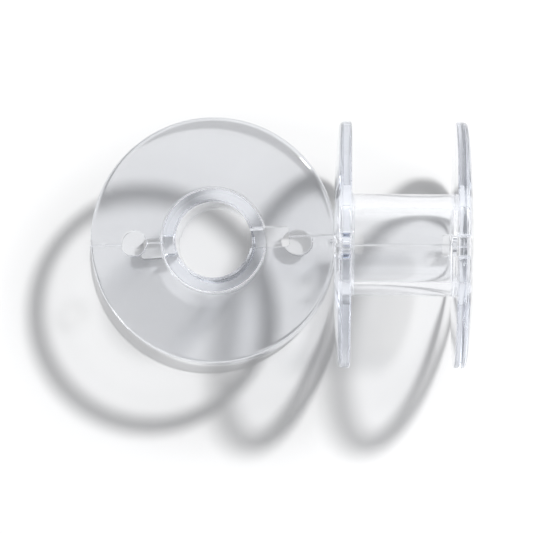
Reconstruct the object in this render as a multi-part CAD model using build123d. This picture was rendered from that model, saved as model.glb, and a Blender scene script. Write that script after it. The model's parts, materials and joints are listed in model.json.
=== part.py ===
"""A pair of clear plastic sewing-machine bobbins, one lying flat and one standing on its rims.

Frame: millimetres, +Z up, origin on the surface that the pair rests on, below the middle of the
pair's bounding box. The lying bobbin's axis is vertical, and the standing bobbin's runs along +X.
Each bobbin is one moulding: a barrel with a bore, and two flanges with domed outer faces. Each
flange has a drive slot on one side of the bore and a thread hole on the other, and the two
flanges are half a turn apart.
"""
from build123d import *
import os

# Driving dimensions of one bobbin
FLANGE_RADIUS = 10.25
OVERALL_LENGTH = 11.4
WINDING_WIDTH = 8.6
DOME_HEIGHT = 0.4
LAND_RADIUS = 4.6
BARREL_RADIUS = 4.25
BORE_RADIUS = 3.15
BORE_CHAMFER = 0.2
RIM_FILLET = 0.4
INNER_RIM_FILLET = 0.15
BARREL_FILLET = 0.3
THREAD_HOLE_RADIUS = 1.02
THREAD_HOLE_PITCH = 6.6
SLOT_WIDTH = 1.66
SLOT_END_RADIUS = 6.3
SLOT_CORNER_RADIUS = 0.25
SLOT_DEPTH = 2.5

# How the two bobbins lie
RIM_GAP = 0.2
STANDING_SHIFT_Y = -0.26
LYING_TURN = 3.1
STANDING_ROLL = 3.5

HALF_LENGTH = OVERALL_LENGTH / 2
RIM_FACE = HALF_LENGTH - DOME_HEIGHT
INNER_FACE = WINDING_WIDTH / 2
AXIS_SPACING = FLANGE_RADIUS + RIM_GAP + RIM_FACE
PAIR_LENGTH = FLANGE_RADIUS + AXIS_SPACING + HALF_LENGTH
LYING_X = FLANGE_RADIUS - PAIR_LENGTH / 2
LYING_Y = -STANDING_SHIFT_Y / 2
STANDING_X = LYING_X + AXIS_SPACING
STANDING_Y = LYING_Y + STANDING_SHIFT_Y


def flange_section():
    """Half section of the upper half of a bobbin, in the XZ plane, from the middle up."""
    bore_mouth = BORE_RADIUS + BORE_CHAMFER
    with BuildSketch(Plane.XZ) as section:
        with BuildLine():
            Polyline((LAND_RADIUS, HALF_LENGTH), (bore_mouth, HALF_LENGTH),
                     (BORE_RADIUS, HALF_LENGTH - BORE_CHAMFER), (BORE_RADIUS, 0),
                     (BARREL_RADIUS, 0), (BARREL_RADIUS, INNER_FACE),
                     (FLANGE_RADIUS, INNER_FACE), (FLANGE_RADIUS, RIM_FACE))
            TangentArc((LAND_RADIUS, HALF_LENGTH), (FLANGE_RADIUS, RIM_FACE), tangent=(1, 0))
        make_face()
        outer_edge = section.vertices().sort_by_distance((FLANGE_RADIUS, RIM_FACE))[0]
        fillet(outer_edge, RIM_FILLET)
        inner_edge = section.vertices().sort_by_distance((FLANGE_RADIUS, INNER_FACE))[0]
        fillet(inner_edge, INNER_RIM_FILLET)
        barrel_corner = section.vertices().sort_by_distance((BARREL_RADIUS, INNER_FACE))[0]
        fillet(barrel_corner, BARREL_FILLET)
    return section.sketch


def drive_slot():
    """Cutter of the upper flange's drive slot, which runs from the bore towards +X."""
    with BuildPart() as slot:
        with BuildSketch(Plane.XY.offset(HALF_LENGTH - SLOT_DEPTH)):
            with Locations((SLOT_END_RADIUS / 2, 0)):
                Rectangle(SLOT_END_RADIUS, SLOT_WIDTH)
        extrude(amount=SLOT_DEPTH + 1)
        end_edges = slot.edges().filter_by(Axis.Z).group_by(Axis.X)[-1]
        fillet(end_edges, SLOT_CORNER_RADIUS)
    return slot.part


def thread_hole():
    """Cutter of the upper flange's thread hole, on the -X side of the bore."""
    depth = HALF_LENGTH - INNER_FACE + 2
    place = Pos(-THREAD_HOLE_PITCH, 0, INNER_FACE - 1)
    return place * Cylinder(THREAD_HOLE_RADIUS, depth, align=(Align.CENTER, Align.CENTER, Align.MIN))


def bobbin():
    """One bobbin round the Z axis, centred on the origin."""
    upper = revolve(flange_section(), Axis.Z) - drive_slot() - thread_hole()
    return upper + upper.rotate(Axis.Y, 180)


def lying_bobbin():
    """The bobbin that rests on the flat land of one flange."""
    return Pos(LYING_X, LYING_Y, HALF_LENGTH) * Rot(0, 0, LYING_TURN) * bobbin()


def standing_bobbin():
    """The bobbin that stands on both rims, its first slot uppermost and turned a little to -Y."""
    along_x = Plane(origin=(STANDING_X, STANDING_Y, FLANGE_RADIUS), x_dir=(0, 0, 1), z_dir=(1, 0, 0))
    return along_x.location * Rot(0, 0, STANDING_ROLL) * bobbin()


def main():
    os.makedirs("parts", exist_ok=True)
    for name, build in (("lying_bobbin", lying_bobbin), ("standing_bobbin", standing_bobbin)):
        export_step(build(), f"parts/{name}.step")


main()
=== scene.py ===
"""Two clear plastic sewing-machine bobbins on a white studio floor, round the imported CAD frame."""
import functools
import json
import math

import bpy
import numpy as np
from mathutils import Matrix, Vector


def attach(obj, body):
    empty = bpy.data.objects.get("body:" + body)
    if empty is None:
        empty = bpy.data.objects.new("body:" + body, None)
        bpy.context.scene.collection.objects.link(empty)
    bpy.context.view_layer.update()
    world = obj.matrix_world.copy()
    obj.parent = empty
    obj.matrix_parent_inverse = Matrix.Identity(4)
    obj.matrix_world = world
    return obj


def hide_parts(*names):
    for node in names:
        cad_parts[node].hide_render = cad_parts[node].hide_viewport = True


MM = 0.001

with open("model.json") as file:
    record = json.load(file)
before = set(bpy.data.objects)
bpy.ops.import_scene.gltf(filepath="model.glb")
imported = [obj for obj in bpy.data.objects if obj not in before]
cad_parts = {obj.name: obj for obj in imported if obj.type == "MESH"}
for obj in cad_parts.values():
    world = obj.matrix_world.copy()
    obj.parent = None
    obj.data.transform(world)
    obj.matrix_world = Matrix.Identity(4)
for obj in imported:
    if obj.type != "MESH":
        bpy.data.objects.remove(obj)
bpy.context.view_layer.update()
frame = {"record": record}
MOUNTS = {mount["name"]: mount for mount in frame["record"]["mounts"]}

# One bobbin, in millimetres
FLANGE_RADIUS = 10.25
HALF_LENGTH = 5.7
INNER_FACE = 4.3
DOME_HEIGHT = 0.4
LAND_RADIUS = 4.6
BARREL_RADIUS = 4.25
BORE_RADIUS = MOUNTS["lying_bore"]["dims"]["r_mm"]
BORE_CHAMFER = 0.2
RIM_FILLET = 0.4
INNER_RIM_FILLET = 0.15
BARREL_FILLET = 0.3
EDGE_ROUND = 0.06
HOLE_RADIUS = 1.02
HOLE_PITCH = 6.6
SLOT_WIDTH = 1.66
SLOT_END = 6.3
SLOT_CORNER = 0.25
SLOT_DEPTH = 2.5
FLOOR_CHAMFER = 0.1
MOUTH_CHAMFER = 0.07
FLARE = 0.4
DIMPLE_PITCH = 9.1
DIMPLE_RADIUS = 0.16
RIDGE_HEIGHT = 0.04
RIDGE_HALF_WIDTH = 0.08

# The domed part of a flange's outer face
DOME_REACH = FLANGE_RADIUS - LAND_RADIUS
DOME_RADIUS = (DOME_REACH ** 2 + DOME_HEIGHT ** 2) / (2 * DOME_HEIGHT)
DOME_CENTRE_Z = HALF_LENGTH - DOME_RADIUS

# How the bobbins lie, in degrees
LYING_TURN = 3.1
STANDING_ROLL = 3.5

# How finely the mesh is divided
ARC_STEPS = 8
EDGE_STEPS = 4
DOME_STEPS = 24
COLUMNS_PER_HALF = 150
RIDGE_STEPS = 4
RIDGE_CLEARANCE = 2
SLOT_CORNER_STEPS = 6
HOLE_STEPS = 96
DIMPLE_STEPS = 24
DIMPLE_RINGS = 7
SHARP_ANGLE = math.radians(30)

# The share of a lamp's light that a ray from the floor loses at each kind of surface. The barrel
# takes it only where the ray enters it from outside, so the bore's floor stays bright, and the
# faces, lands and bore take none.
BARREL_TAKES = 0.27
CUT_TAKES = 0.52
RIM_TAKES = 0.95
# The shader tells the kinds apart by their shares, give or take this much
KIND_MARGIN = 0.01
# A face is the barrel's or a rim's only if it is at least this steep: 0 is level and 1 upright
BARREL_STEEP = 0.2
RIM_STEEP = 0.1
# Any surface takes more where it is grazed
GRAZED_TAKES = 0.35
GRAZED_POWER = 5
# Light turned aside by a cut spreads out on its way down, so cuts take less by this much per metre
CUT_FADE = 60
# A rim close to the floor drops the light it turns aside back beside it: its part of the share
# there, and how much more of it each metre of height brings
LOW_RIM = 0.45
RIM_GAIN = 45
# A rim or cut that faces the floor this squarely, by its normal's z, guides light down to it
GUIDED_FROM = -0.65
GUIDED_WHOLLY = -0.9
# The dome bends the light near its rim inwards: the share taken in that band, its width per metre
# of slanted height, and its least and greatest width in metres
BAND_TAKES = 0.9
BAND_SPREAD = 0.09
BAND_REACH = (0.0001, 0.0017)
# Light from the sky loses this part of what a lamp's light loses, and never less than this share
SKY_PART = 0.4
SKY_TAKES = 0.05

# The plastic
PLASTIC_COLOUR = (0.99, 0.993, 1.0, 1)
PLASTIC_IOR = 1.59
PLASTIC_ROUGHNESS = 0.04
DEPTH_COLOUR = (0.80, 0.86, 0.99, 1)
DEPTH_DENSITY = 26.0
# Rays still inside the plastic after this many bounces leave it straight
TRAPPED_AFTER = 6

# The floor, in metres: its tone, the middle and half widths of the painted shade round the pair, a
# less white patch that stands in for the soft shade near it, where the patch's edge starts and ends,
# and the tone that the camera sees added outside it, which is what paints the shade
FLOOR_SIZE = 4.0
FLOOR_TONE = 0.81
PAINTED_SHADE_MIDDLE = (-0.0027, -0.00231)
PAINTED_SHADE_HALF = (0.0225, 0.0165)
PAINTED_SHADE_EDGE = (0.75, 1.1)
UNSHADED_TONE = 0.1
FLOOR_ROUGHNESS = 0.9
FLOOR_SPECULAR = 0.1

# The lamps, all in one direction, in metres and watts: a small one that reflections show and a
# broad one that they don't
KEY_AZIMUTH = math.radians(45.2)
KEY_ELEVATION = math.radians(53.4)
KEY_DISTANCE = 0.6
LAMPS = (("key", 0.06, 2.7, True), ("key_spill", 0.3, 0.9, False))

# The studio's light as smooth steps (start, end, before, after): the walls and the overhead part
# by the height of a direction, and a bright panel by how squarely the direction faces the lamps
WALLS = (0.05, 0.35, 0.45, 0.32)
OVERHEAD = (0.9, 0.97, 1.0, 0.6)
PANEL = (0.6, 0.75, 0, 1.2)
STUDIO_COLOUR = (0.97, 0.98, 1.0, 1)

# The camera: places and clipping in metres, lens and sensor in millimetres
EYE = (0.0042, -0.0154, 0.311)
AIM = (-0.00117, -0.00202, 0.01025)
LENS = 244.0
SENSOR_WIDTH = 36.0
CAMERA_ROLL = math.radians(0.53)
CLIP = (0.01, 10.0)

# Light paths long enough to see through both bobbins
THROUGH_BOUNCES = 24
GLOSSY_BOUNCES = 12


# ---------------------------------------------------------------- section of a bobbin

def arc(centre, radius, start, end, steps, hollow=False):
    """Points of an arc with the normals that leave the plastic; the angles are of the radius."""
    sign = -1 if hollow else 1
    points = []
    for i in range(steps + 1):
        angle = start + (end - start) * i / steps
        out, up = math.cos(angle), math.sin(angle)
        points.append((centre[0] + radius * out, centre[1] + radius * up, sign * out, sign * up))
    return points


def rounded_corner(corner, start, end):
    """Small convex arc at a corner between two straight faces, given the faces' normal angles."""
    half = (end - start) / 2
    bisector = start + half
    reach = EDGE_ROUND / math.cos(half)
    centre = (corner[0] - reach * math.cos(bisector), corner[1] - reach * math.sin(bisector))
    return arc(centre, EDGE_ROUND, start, end, EDGE_STEPS)


def upper_section():
    """Rows (r, z, normal r, normal z, ridge) of the upper half, from barrel to bore."""
    quarter = math.pi / 2
    barrel = [(BARREL_RADIUS, 0.0, 1.0, 0.0)]
    hollow = (BARREL_RADIUS + BARREL_FILLET, INNER_FACE - BARREL_FILLET)
    barrel += arc(hollow, BARREL_FILLET, math.pi, quarter, ARC_STEPS, hollow=True)
    inner = (FLANGE_RADIUS - INNER_RIM_FILLET, INNER_FACE + INNER_RIM_FILLET)
    rim = arc(inner, INNER_RIM_FILLET, -quarter, 0, ARC_STEPS)
    fillet_r = FLANGE_RADIUS - RIM_FILLET
    rise = math.sqrt((DOME_RADIUS - RIM_FILLET) ** 2 - (fillet_r - LAND_RADIUS) ** 2)
    dome_angle = math.atan2(rise, fillet_r - LAND_RADIUS)
    shoulder = arc((fillet_r, DOME_CENTRE_Z + rise), RIM_FILLET, 0, dome_angle, ARC_STEPS)
    dome = arc((LAND_RADIUS, DOME_CENTRE_Z), DOME_RADIUS, dome_angle, quarter, DOME_STEPS)[1:]
    mouth = rounded_corner((BORE_RADIUS + BORE_CHAMFER, HALF_LENGTH), quarter, 1.5 * quarter)
    mouth += rounded_corner((BORE_RADIUS, HALF_LENGTH - BORE_CHAMFER), 1.5 * quarter, 2 * quarter)
    bore = [(BORE_RADIUS, 0.0, -1.0, 0.0)]
    ridged = [row + (1.0,) for row in barrel + rim + shoulder[:1]]
    return ridged + [row + (0.0,) for row in shoulder[1:] + dome + mouth + bore]


def whole_section():
    """The closed section: the upper half and its mirror image."""
    upper = upper_section()
    lower = [(r, -z, nr, -nz, ridge) for r, z, nr, nz, ridge in upper[-2:0:-1]]
    return np.array(upper + lower)


SECTION = whole_section()


# ---------------------------------------------------------------- the turned body

def ridge_shape(offset):
    """Height of the parting ridge and its slope, at that distance from the parting plane."""
    phase = math.pi * np.clip(offset / RIDGE_HALF_WIDTH, -1, 1)
    height = RIDGE_HEIGHT * (1 + np.cos(phase)) / 2
    return height, -RIDGE_HEIGHT * math.pi / RIDGE_HALF_WIDTH * np.sin(phase) / 2


def lathe_columns():
    """The columns round the bobbin: (side, offset) close to the parting plane, which the evenly
    spaced ones, (angle, None), keep clear of."""
    columns = []
    for side in (0, 1):
        for i in range(-RIDGE_STEPS, RIDGE_STEPS + 1):
            columns.append((side, i / RIDGE_STEPS * RIDGE_HALF_WIDTH))
        for i in range(RIDGE_CLEARANCE, COLUMNS_PER_HALF - RIDGE_CLEARANCE + 1):
            columns.append((side * math.pi + math.pi * i / COLUMNS_PER_HALF, None))
    return columns


def lathe_vertices():
    """Vertices of the turned body, column by column, with the parting ridge raised on it."""
    r, z, normal_r, normal_z, ridge = SECTION.T
    columns = []
    for place, offset in lathe_columns():
        if offset is None:
            x, y = r * math.cos(place), r * math.sin(place)
            lift = np.zeros_like(r)
        else:
            sign = 1 if place == 0 else -1
            x, y = sign * np.sqrt(r ** 2 - offset ** 2), np.full_like(r, sign * offset)
            lift = ridge * ridge_shape(offset)[0]
        out = lift * normal_r / np.hypot(x, y)
        columns.append(np.stack([x + out * x, y + out * y, z + lift * normal_z], axis=1))
    return np.concatenate(columns)


def new_mesh(name, vertices, faces):
    """A mesh object in millimetres, in the scene."""
    mesh = bpy.data.meshes.new(name)
    mesh.from_pydata([tuple(v) for v in vertices], [], faces)
    mesh.update()
    piece = bpy.data.objects.new(name, mesh)
    bpy.context.scene.collection.objects.link(piece)
    return piece


def turned_body(name):
    """The bobbin before its slots, holes and dimples are cut."""
    count, rows = len(lathe_columns()), len(SECTION)
    faces = []
    for c in range(count):
        here, there = c * rows, (c + 1) % count * rows
        for i in range(rows):
            j = (i + 1) % rows
            faces.append((here + i, there + i, there + j, here + j))
    return new_mesh(name, lathe_vertices(), faces)


# ---------------------------------------------------------------- cutters of the upper flange

def ring_cutter(name, rings):
    """Closed solid through rings of points, from the lowest to the highest."""
    size = len(rings[0])
    top = (len(rings) - 1) * size
    faces = [tuple(range(size))[::-1], tuple(range(top, top + size))]
    for low in range(0, top, size):
        high = low + size
        for i in range(size):
            j = (i + 1) % size
            faces.append((low + i, low + j, high + j, high + i))
    return new_mesh(name, [point for ring in rings for point in ring], faces)


def slot_outline(grow, z):
    """Outline of the drive slot at one height, grown outwards."""
    half, end, corner = SLOT_WIDTH / 2 + grow, SLOT_END + grow, SLOT_CORNER + grow
    points = [(0.0, -half, z)]
    for turn in (-1, 1):
        centre_y = turn * (half - corner)
        first = -SLOT_CORNER_STEPS if turn < 0 else 0
        for i in range(first, first + SLOT_CORNER_STEPS + 1):
            angle = i * math.pi / (2 * SLOT_CORNER_STEPS)
            x = end - corner + corner * math.cos(angle)
            points.append((x, centre_y + corner * math.sin(angle), z))
    return points + [(0.0, half, z)]


def slot_cutter():
    """Cutter of the drive slot, with a chamfered floor and a chamfered mouth."""
    floor, mouth = HALF_LENGTH - SLOT_DEPTH, HALF_LENGTH - MOUTH_CHAMFER
    rings = [slot_outline(-FLOOR_CHAMFER, floor), slot_outline(0, floor + FLOOR_CHAMFER),
             slot_outline(0, mouth), slot_outline(FLARE, mouth + FLARE)]
    return ring_cutter("slot_cutter", rings)


def dome_z(r):
    """Height of the outer face at radius r."""
    return DOME_CENTRE_Z + math.sqrt(DOME_RADIUS ** 2 - max(r - LAND_RADIUS, 0) ** 2)


def circle(middle_x, radius, steps):
    """Points (x, y) of a circle whose middle is on the X axis."""
    turns = [math.tau * i / steps for i in range(steps)]
    return [(middle_x + radius * math.cos(a), radius * math.sin(a)) for a in turns]


def hole_cutter():
    """Cutter of the thread hole, flared at both faces of the flange."""
    narrow = circle(-HOLE_PITCH, HOLE_RADIUS, HOLE_STEPS)
    wide = circle(-HOLE_PITCH, HOLE_RADIUS + FLARE, HOLE_STEPS)
    inner_z = INNER_FACE + MOUTH_CHAMFER
    rings = [[(x, y, inner_z - FLARE) for x, y in wide],
             [(x, y, inner_z) for x, y in narrow],
             [(x, y, dome_z(math.hypot(x, y)) - MOUTH_CHAMFER) for x, y in narrow],
             [(x, y, dome_z(math.hypot(x, y)) + FLARE - MOUTH_CHAMFER) for x, y in wide]]
    return ring_cutter("hole_cutter", rings)


def dimple_cutter():
    """Cutter of the small dimple in the outer face, between the thread hole and the rim."""
    rings = []
    for k in range(1, DIMPLE_RINGS + 1):
        tilt = math.pi * k / (DIMPLE_RINGS + 1) - math.pi / 2
        z = dome_z(DIMPLE_PITCH) + DIMPLE_RADIUS * math.sin(tilt)
        ring = circle(-DIMPLE_PITCH, DIMPLE_RADIUS * math.cos(tilt), DIMPLE_STEPS)
        rings.append([(x, y, z) for x, y in ring])
    return ring_cutter("dimple_cutter", rings)


def half_turned(piece):
    """A copy of a cutter for the lower flange."""
    copy = piece.copy()
    copy.data = piece.data.copy()
    copy.data.transform(Matrix.Rotation(math.pi, 4, "Y"))
    bpy.context.scene.collection.objects.link(copy)
    return copy


def apply_modifiers(piece):
    """Turns the piece's modifiers into its mesh."""
    shape = piece.evaluated_get(bpy.context.evaluated_depsgraph_get())
    mesh = bpy.data.meshes.new_from_object(shape)
    piece.modifiers.clear()
    piece.data = mesh


def cut_features(piece):
    """Cuts both flanges' features out of the turned body; the cut faces get material 1."""
    body_mark = bpy.data.materials.new("body_mark")
    cut_mark = bpy.data.materials.new("cut_mark")
    piece.data.materials.append(body_mark)
    uppers = [slot_cutter(), hole_cutter(), dimple_cutter()]
    cutters = uppers + [half_turned(cutter) for cutter in uppers]
    for cutter in cutters:
        cutter.data.materials.append(cut_mark)
        cut = piece.modifiers.new("cut", "BOOLEAN")
        cut.object = cutter
        cut.operation = "DIFFERENCE"
        cut.solver = "EXACT"
        cut.material_mode = "TRANSFER"
    apply_modifiers(piece)
    for cutter in cutters:
        bpy.data.objects.remove(cutter)


# ---------------------------------------------------------------- the finished mesh

def numbers(items, name, kind):
    """One number for each item of a mesh."""
    out = np.empty(len(items), dtype=kind)
    items.foreach_get(name, out)
    return out


def vectors(items, name):
    """One vector for each item of a mesh."""
    out = np.empty(len(items) * 3)
    items.foreach_get(name, out)
    return out.reshape(-1, 3)


def section_normals(points):
    """Normals of the turned body at those points, from the section and the parting ridge."""
    x, y, z = points.T
    r = np.hypot(x, y)
    start, end = SECTION, np.roll(SECTION, -1, axis=0)
    span = end[:, :2] - start[:, :2]
    length = np.maximum((span ** 2).sum(axis=1), 1e-12)
    spot = np.stack([r, z], axis=1)[:, None, :] - start[None, :, :2]
    along = np.clip((spot * span[None]).sum(axis=2) / length, 0, 1)
    gap = ((spot - along[:, :, None] * span[None]) ** 2).sum(axis=2)
    best = gap.argmin(axis=1)
    t = along[np.arange(len(points)), best][:, None]
    value = start[best, 2:] * (1 - t) + end[best, 2:] * t
    slope = value[:, 2] * np.where(np.abs(y) < RIDGE_HALF_WIDTH, ridge_shape(y)[1], 0)
    normal = np.stack([value[:, 0] * x / r, value[:, 0] * y / r, value[:, 1]], axis=1)
    normal /= np.linalg.norm(normal, axis=1)[:, None]
    across = np.array([0.0, 1.0, 0.0]) - normal * normal[:, 1:2]
    normal -= across * slope[:, None]
    return normal / np.linalg.norm(normal, axis=1)[:, None]


def set_normals(mesh):
    """Exact normals on the turned faces, and smooth ones with sharp edges on the cut faces."""
    faces = mesh.polygons
    faces.foreach_set("use_smooth", [True] * len(faces))
    mesh.set_sharp_from_angle(angle=SHARP_ANGLE)
    is_turned = numbers(faces, "material_index", np.int32) == 0
    turned = np.repeat(is_turned, numbers(faces, "loop_total", np.int32))
    corner_vertices = numbers(mesh.loops, "vertex_index", np.int32)
    normals = vectors(mesh.corner_normals, "vector")
    exact = section_normals(vectors(mesh.vertices, "co"))
    normals[turned] = exact[corner_vertices[turned]]
    mesh.normals_split_custom_set([tuple(n) for n in normals])


def mark_surfaces(mesh):
    """Stores each face's share of a lamp's light, and each point's distance in from the rim."""
    x, y, _ = vectors(mesh.polygons, "center").T
    r = np.hypot(x, y)
    steep = 1 - np.abs(vectors(mesh.polygons, "normal")[:, 2])
    on_barrel = (r >= BORE_RADIUS + BORE_CHAMFER) & (r < LAND_RADIUS) & (steep > BARREL_STEEP)
    on_rim = (r > FLANGE_RADIUS - RIM_FILLET) & (steep > RIM_STEEP)
    is_cut = numbers(mesh.polygons, "material_index", np.int32) == 1
    share = np.select([is_cut, on_rim, on_barrel], [CUT_TAKES, RIM_TAKES, BARREL_TAKES], 0.0)
    taken = mesh.attributes.new("taken", "FLOAT", "FACE")
    taken.data.foreach_set("value", share)
    x, y, _ = vectors(mesh.vertices, "co").T
    inside = mesh.attributes.new("inside_rim", "FLOAT", "POINT")
    inside.data.foreach_set("value", (FLANGE_RADIUS - np.hypot(x, y)) * MM)


def bobbin_mesh():
    """The mesh of one bobbin, in millimetres round its own axis."""
    piece = turned_body("bobbin")
    cut_features(piece)
    mesh = piece.data
    set_normals(mesh)
    bpy.data.objects.remove(piece)
    mark_surfaces(mesh)
    mesh.polygons.foreach_set("material_index", [0] * len(mesh.polygons))
    mesh.materials.clear()
    return mesh


# ---------------------------------------------------------------- materials

class Graph:
    """A shader's node tree, with short ways to add to it. A value is a socket or a number."""

    def __init__(self, tree):
        self.nodes = tree.nodes
        self.links = tree.links

    def node(self, kind):
        """A new shader node."""
        return self.nodes.new("ShaderNode" + kind)

    def math(self, operation, first, second):
        """Math node of two values."""
        node = self.node("Math")
        node.operation = operation
        for socket, value in zip(node.inputs, (first, second)):
            if isinstance(value, (int, float)):
                socket.default_value = value
            else:
                self.links.new(value, socket)
        return node.outputs["Value"]

    def chain(self, operation, *values):
        """Math nodes that put several values together."""
        return functools.reduce(lambda first, second: self.math(operation, first, second), values)

    def rest(self, value):
        """What the value leaves of 1."""
        return self.math("SUBTRACT", 1, value)

    def step(self, value, start, end, before, after):
        """Smooth step of a value between start and end."""
        node = self.node("MapRange")
        node.interpolation_type = "SMOOTHSTEP"
        self.links.new(value, node.inputs["Value"])
        limits = {"From Min": start, "From Max": end, "To Min": before, "To Max": after}
        for name, number in limits.items():
            node.inputs[name].default_value = number
        return node.outputs["Result"]

    def stored(self, name):
        """A number stored on the mesh."""
        node = self.node("Attribute")
        node.attribute_name = name
        return node.outputs["Fac"]

    def parts(self, vector):
        """The X, Y and Z of a vector."""
        node = self.node("SeparateXYZ")
        self.links.new(vector, node.inputs["Vector"])
        return node.outputs


def new_material(name):
    """A material, its graph and its Principled shader."""
    material = bpy.data.materials.new(name)
    material.use_nodes = True
    return material, Graph(material.node_tree), material.node_tree.nodes["Principled BSDF"]


def band_share(graph, height, facing):
    """Share taken by the band near a rim, which is wider higher up and where light slants.

    The band takes its whole share over its outer half and fades over its inner half.
    """
    slant = graph.math("DIVIDE", height, graph.math("POWER", graph.rest(facing), 2))
    reach = graph.math("MINIMUM", graph.math("MULTIPLY", slant, BAND_SPREAD), BAND_REACH[1])
    reach = graph.math("MAXIMUM", reach, BAND_REACH[0])
    into = graph.math("DIVIDE", graph.stored("inside_rim"), reach)
    left = graph.math("MAXIMUM", graph.rest(into), 0)
    full = graph.math("MINIMUM", graph.math("MULTIPLY", left, 2), 1)
    return graph.math("MULTIPLY", full, BAND_TAKES)


def kind_share(graph, taken, plain, height, shape):
    """Share taken by a surface of its kind; that of rims and cuts varies with height and slope."""
    entered = graph.rest(shape.outputs["Backfacing"])
    normal_z = graph.parts(shape.outputs["Normal"])["Z"]
    down = graph.step(normal_z, GUIDED_FROM, GUIDED_WHOLLY, 0, 1)
    kept = graph.rest(graph.math("MULTIPLY", down, entered))
    is_rim = graph.math("GREATER_THAN", taken, RIM_TAKES - KIND_MARGIN)
    is_cut = graph.math("SUBTRACT", graph.rest(is_rim), plain)
    of_rim = graph.math("ADD", graph.math("MULTIPLY", height, RIM_GAIN), LOW_RIM)
    of_rim = graph.math("MINIMUM", of_rim, 1)
    of_cut = graph.math("MAXIMUM", graph.rest(graph.math("MULTIPLY", height, CUT_FADE)), 0)
    part = graph.chain("ADD", graph.chain("MULTIPLY", of_rim, is_rim, kept),
                       graph.chain("MULTIPLY", of_cut, is_cut, kept),
                       graph.math("MULTIPLY", entered, plain))
    return graph.math("MULTIPLY", taken, part)


def light_through(graph, path, to_lights):
    """Transparent shader for rays to lamps and sky, which lose a share at each surface."""
    weight = graph.node("LayerWeight")
    weight.inputs["Blend"].default_value = 0.5
    facing = weight.outputs["Facing"]
    shape = graph.node("NewGeometry")
    height = graph.parts(shape.outputs["Position"])["Z"]
    taken = graph.stored("taken")
    plain = graph.math("LESS_THAN", taken, CUT_TAKES - KIND_MARGIN)
    grazed = graph.math("MULTIPLY", graph.math("POWER", facing, GRAZED_POWER), GRAZED_TAKES)
    band = graph.math("MULTIPLY", band_share(graph, height, facing), plain)
    lamp = graph.chain("MAXIMUM", grazed, kind_share(graph, taken, plain, height, shape), band)
    sky = graph.math("MAXIMUM", graph.math("MULTIPLY", lamp, SKY_PART), SKY_TAKES)
    lost = graph.node("Mix")
    graph.links.new(path.outputs["Is Diffuse Ray"], lost.inputs["Factor"])
    graph.links.new(lamp, lost.inputs["A"])
    graph.links.new(sky, lost.inputs["B"])
    through = graph.rest(graph.math("MULTIPLY", lost.outputs["Result"], to_lights))
    clear = graph.node("BsdfTransparent")
    graph.links.new(through, clear.inputs["Color"])
    return clear


def clear_plastic():
    """Water-white polystyrene: glossy, see-through, faintly cool where it is thick."""
    material, graph, shader = new_material("clear_plastic")
    shader.inputs["Base Color"].default_value = PLASTIC_COLOUR
    shader.inputs["Transmission Weight"].default_value = 1.0
    shader.inputs["IOR"].default_value = PLASTIC_IOR
    shader.inputs["Roughness"].default_value = PLASTIC_ROUGHNESS
    absorb = graph.node("VolumeAbsorption")
    absorb.inputs["Color"].default_value = DEPTH_COLOUR
    absorb.inputs["Density"].default_value = DEPTH_DENSITY
    path = graph.node("LightPath")
    to_lights = graph.math("MAXIMUM", path.outputs["Is Shadow Ray"], path.outputs["Is Diffuse Ray"])
    trapped = graph.math("GREATER_THAN", path.outputs["Ray Depth"], TRAPPED_AFTER)
    surface = graph.node("MixShader")
    graph.links.new(graph.math("MAXIMUM", to_lights, trapped), surface.inputs["Fac"])
    graph.links.new(shader.outputs["BSDF"], surface.inputs[1])
    graph.links.new(light_through(graph, path, to_lights).outputs["BSDF"], surface.inputs[2])
    output = graph.nodes["Material Output"]
    graph.links.new(absorb.outputs["Volume"], output.inputs["Volume"])
    graph.links.new(surface.outputs["Shader"], output.inputs["Surface"])
    return material


def floor_with_painted_shade():
    """Matt white studio floor with painted shade: the camera sees it a little less white round the
    pair than further out.
    """
    material, graph, shader = new_material("floor_white_painted_shade")
    shader.inputs["Roughness"].default_value = FLOOR_ROUGHNESS
    shader.inputs["Specular IOR Level"].default_value = FLOOR_SPECULAR
    shrink = graph.node("Mapping")
    graph.links.new(graph.node("NewGeometry").outputs["Position"], shrink.inputs["Vector"])
    shift = [-middle / half for middle, half in zip(PAINTED_SHADE_MIDDLE, PAINTED_SHADE_HALF)]
    shrink.inputs["Location"].default_value = (*shift, 0)
    shrink.inputs["Scale"].default_value = (1 / PAINTED_SHADE_HALF[0], 1 / PAINTED_SHADE_HALF[1], 0)
    length = graph.node("VectorMath")
    length.operation = "LENGTH"
    graph.links.new(shrink.outputs["Vector"], length.inputs[0])
    # Painted shade: only camera rays see the floor whiter away from the pair
    unshaded = graph.step(length.outputs["Value"], *PAINTED_SHADE_EDGE, 0, UNSHADED_TONE)
    seen = graph.math("MULTIPLY", unshaded, graph.node("LightPath").outputs["Is Camera Ray"])
    graph.links.new(graph.math("ADD", seen, FLOOR_TONE), shader.inputs["Base Color"])
    return material


# ---------------------------------------------------------------- the two bobbins

def lying_place():
    """Where the lying bobbin's middle is, and its turn about its upright axis."""
    centre = Matrix.Translation(Vector(MOUNTS["lying_bore"]["pos_m"]))
    return centre @ Matrix.Rotation(math.radians(LYING_TURN), 4, "Z")


def standing_place():
    """The standing bobbin's axis along X, its first slot up, rolled a little towards -Y."""
    centre = Matrix.Translation(Vector(MOUNTS["standing_bore"]["pos_m"]))
    axes = Matrix(((0, 0, 1, 0), (0, -1, 0, 0), (1, 0, 0, 0), (0, 0, 0, 1)))
    return centre @ axes @ Matrix.Rotation(math.radians(STANDING_ROLL), 4, "Z")


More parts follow.
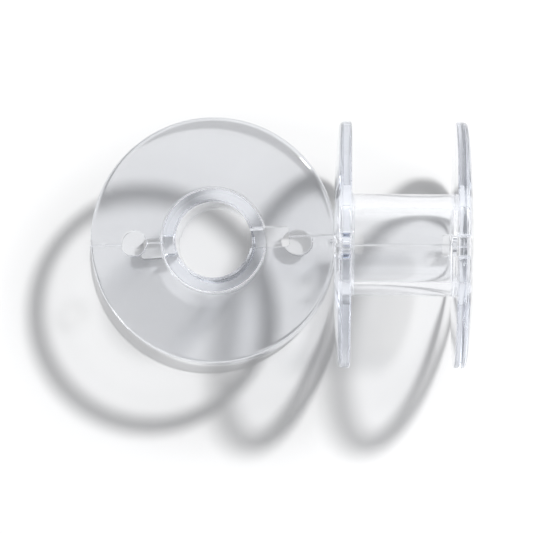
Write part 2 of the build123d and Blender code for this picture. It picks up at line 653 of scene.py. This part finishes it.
def place_bobbins():
    """One copy of the mesh for each bobbin, in metres, in the place of its CAD node."""
    shape = bobbin_mesh()
    shape.materials.append(clear_plastic())
    for name, place in (("lying_bobbin", lying_place()), ("standing_bobbin", standing_place())):
        mesh = shape.copy()
        mesh.transform(place @ Matrix.Scale(MM, 4))
        piece = bpy.data.objects.new(name + "_clear", mesh)
        bpy.context.scene.collection.objects.link(piece)
        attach(piece, name)
        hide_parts(name)
    bpy.data.meshes.remove(shape)


# ---------------------------------------------------------------- floor, light and camera

def lay_floor():
    """The studio floor."""
    bpy.ops.mesh.primitive_plane_add(size=FLOOR_SIZE)
    floor = bpy.context.object
    floor.name = "floor"
    floor.data.materials.append(floor_with_painted_shade())


def add_lamps():
    """The lamps, all in one direction from the pair."""
    level = math.cos(KEY_ELEVATION)
    toward = Vector((math.cos(KEY_AZIMUTH) * level, math.sin(KEY_AZIMUTH) * level,
                     math.sin(KEY_ELEVATION)))
    for name, size, energy, reflected in LAMPS:
        data = bpy.data.lights.new(name, "AREA")
        data.shape = "DISK"
        data.size = size
        data.energy = energy
        lamp = bpy.data.objects.new(name, data)
        lamp.location = toward * KEY_DISTANCE
        lamp.rotation_euler = toward.to_track_quat("Z", "Y").to_euler()
        lamp.visible_glossy = reflected
        lamp.visible_transmission = reflected
        bpy.context.scene.collection.objects.link(lamp)


def light_studio():
    """Soft light from all round: brighter low walls, a dimmer ceiling and a panel by the lamps."""
    world = bpy.data.worlds.new("studio")
    bpy.context.scene.world = world
    world.use_nodes = True
    graph = Graph(world.node_tree)
    direction = graph.parts(graph.node("TexCoord").outputs["Generated"])
    walls = graph.step(direction["Z"], *WALLS)
    sky = graph.math("MULTIPLY", walls, graph.step(direction["Z"], *OVERHEAD))
    aside = graph.math("MULTIPLY", direction["X"], math.cos(KEY_AZIMUTH))
    ahead = graph.math("MULTIPLY", direction["Y"], math.sin(KEY_AZIMUTH))
    panel = graph.step(graph.math("ADD", aside, ahead), *PANEL)
    background = graph.nodes["Background"]
    graph.links.new(graph.math("ADD", sky, panel), background.inputs["Strength"])
    background.inputs["Color"].default_value = STUDIO_COLOUR


def add_camera():
    """The camera at its eye point, aimed at the pair and rolled a little."""
    data = bpy.data.cameras.new("camera")
    data.lens = LENS
    data.sensor_width = SENSOR_WIDTH
    data.clip_start, data.clip_end = CLIP
    camera = bpy.data.objects.new("camera", data)
    bpy.context.scene.collection.objects.link(camera)
    eye = Vector(EYE)
    forward = (Vector(AIM) - eye).normalized()
    level = forward.cross(Vector((0, 1, 0))).normalized()
    right = Matrix.Rotation(-CAMERA_ROLL, 3, forward) @ level
    up = right.cross(forward)
    camera.matrix_world = Matrix((
        (right.x, up.x, -forward.x, eye.x), (right.y, up.y, -forward.y, eye.y),
        (right.z, up.z, -forward.z, eye.z), (0, 0, 0, 1)))
    bpy.context.scene.camera = camera


def set_view():
    """Plain tones, and light paths through both bobbins."""
    scene = bpy.context.scene
    scene.view_settings.view_transform = "Standard"
    scene.cycles.max_bounces = THROUGH_BOUNCES
    scene.cycles.transmission_bounces = THROUGH_BOUNCES
    scene.cycles.transparent_max_bounces = THROUGH_BOUNCES
    scene.cycles.glossy_bounces = GLOSSY_BOUNCES


place_bobbins()
lay_floor()
add_lamps()
light_studio()
add_camera()
set_view()
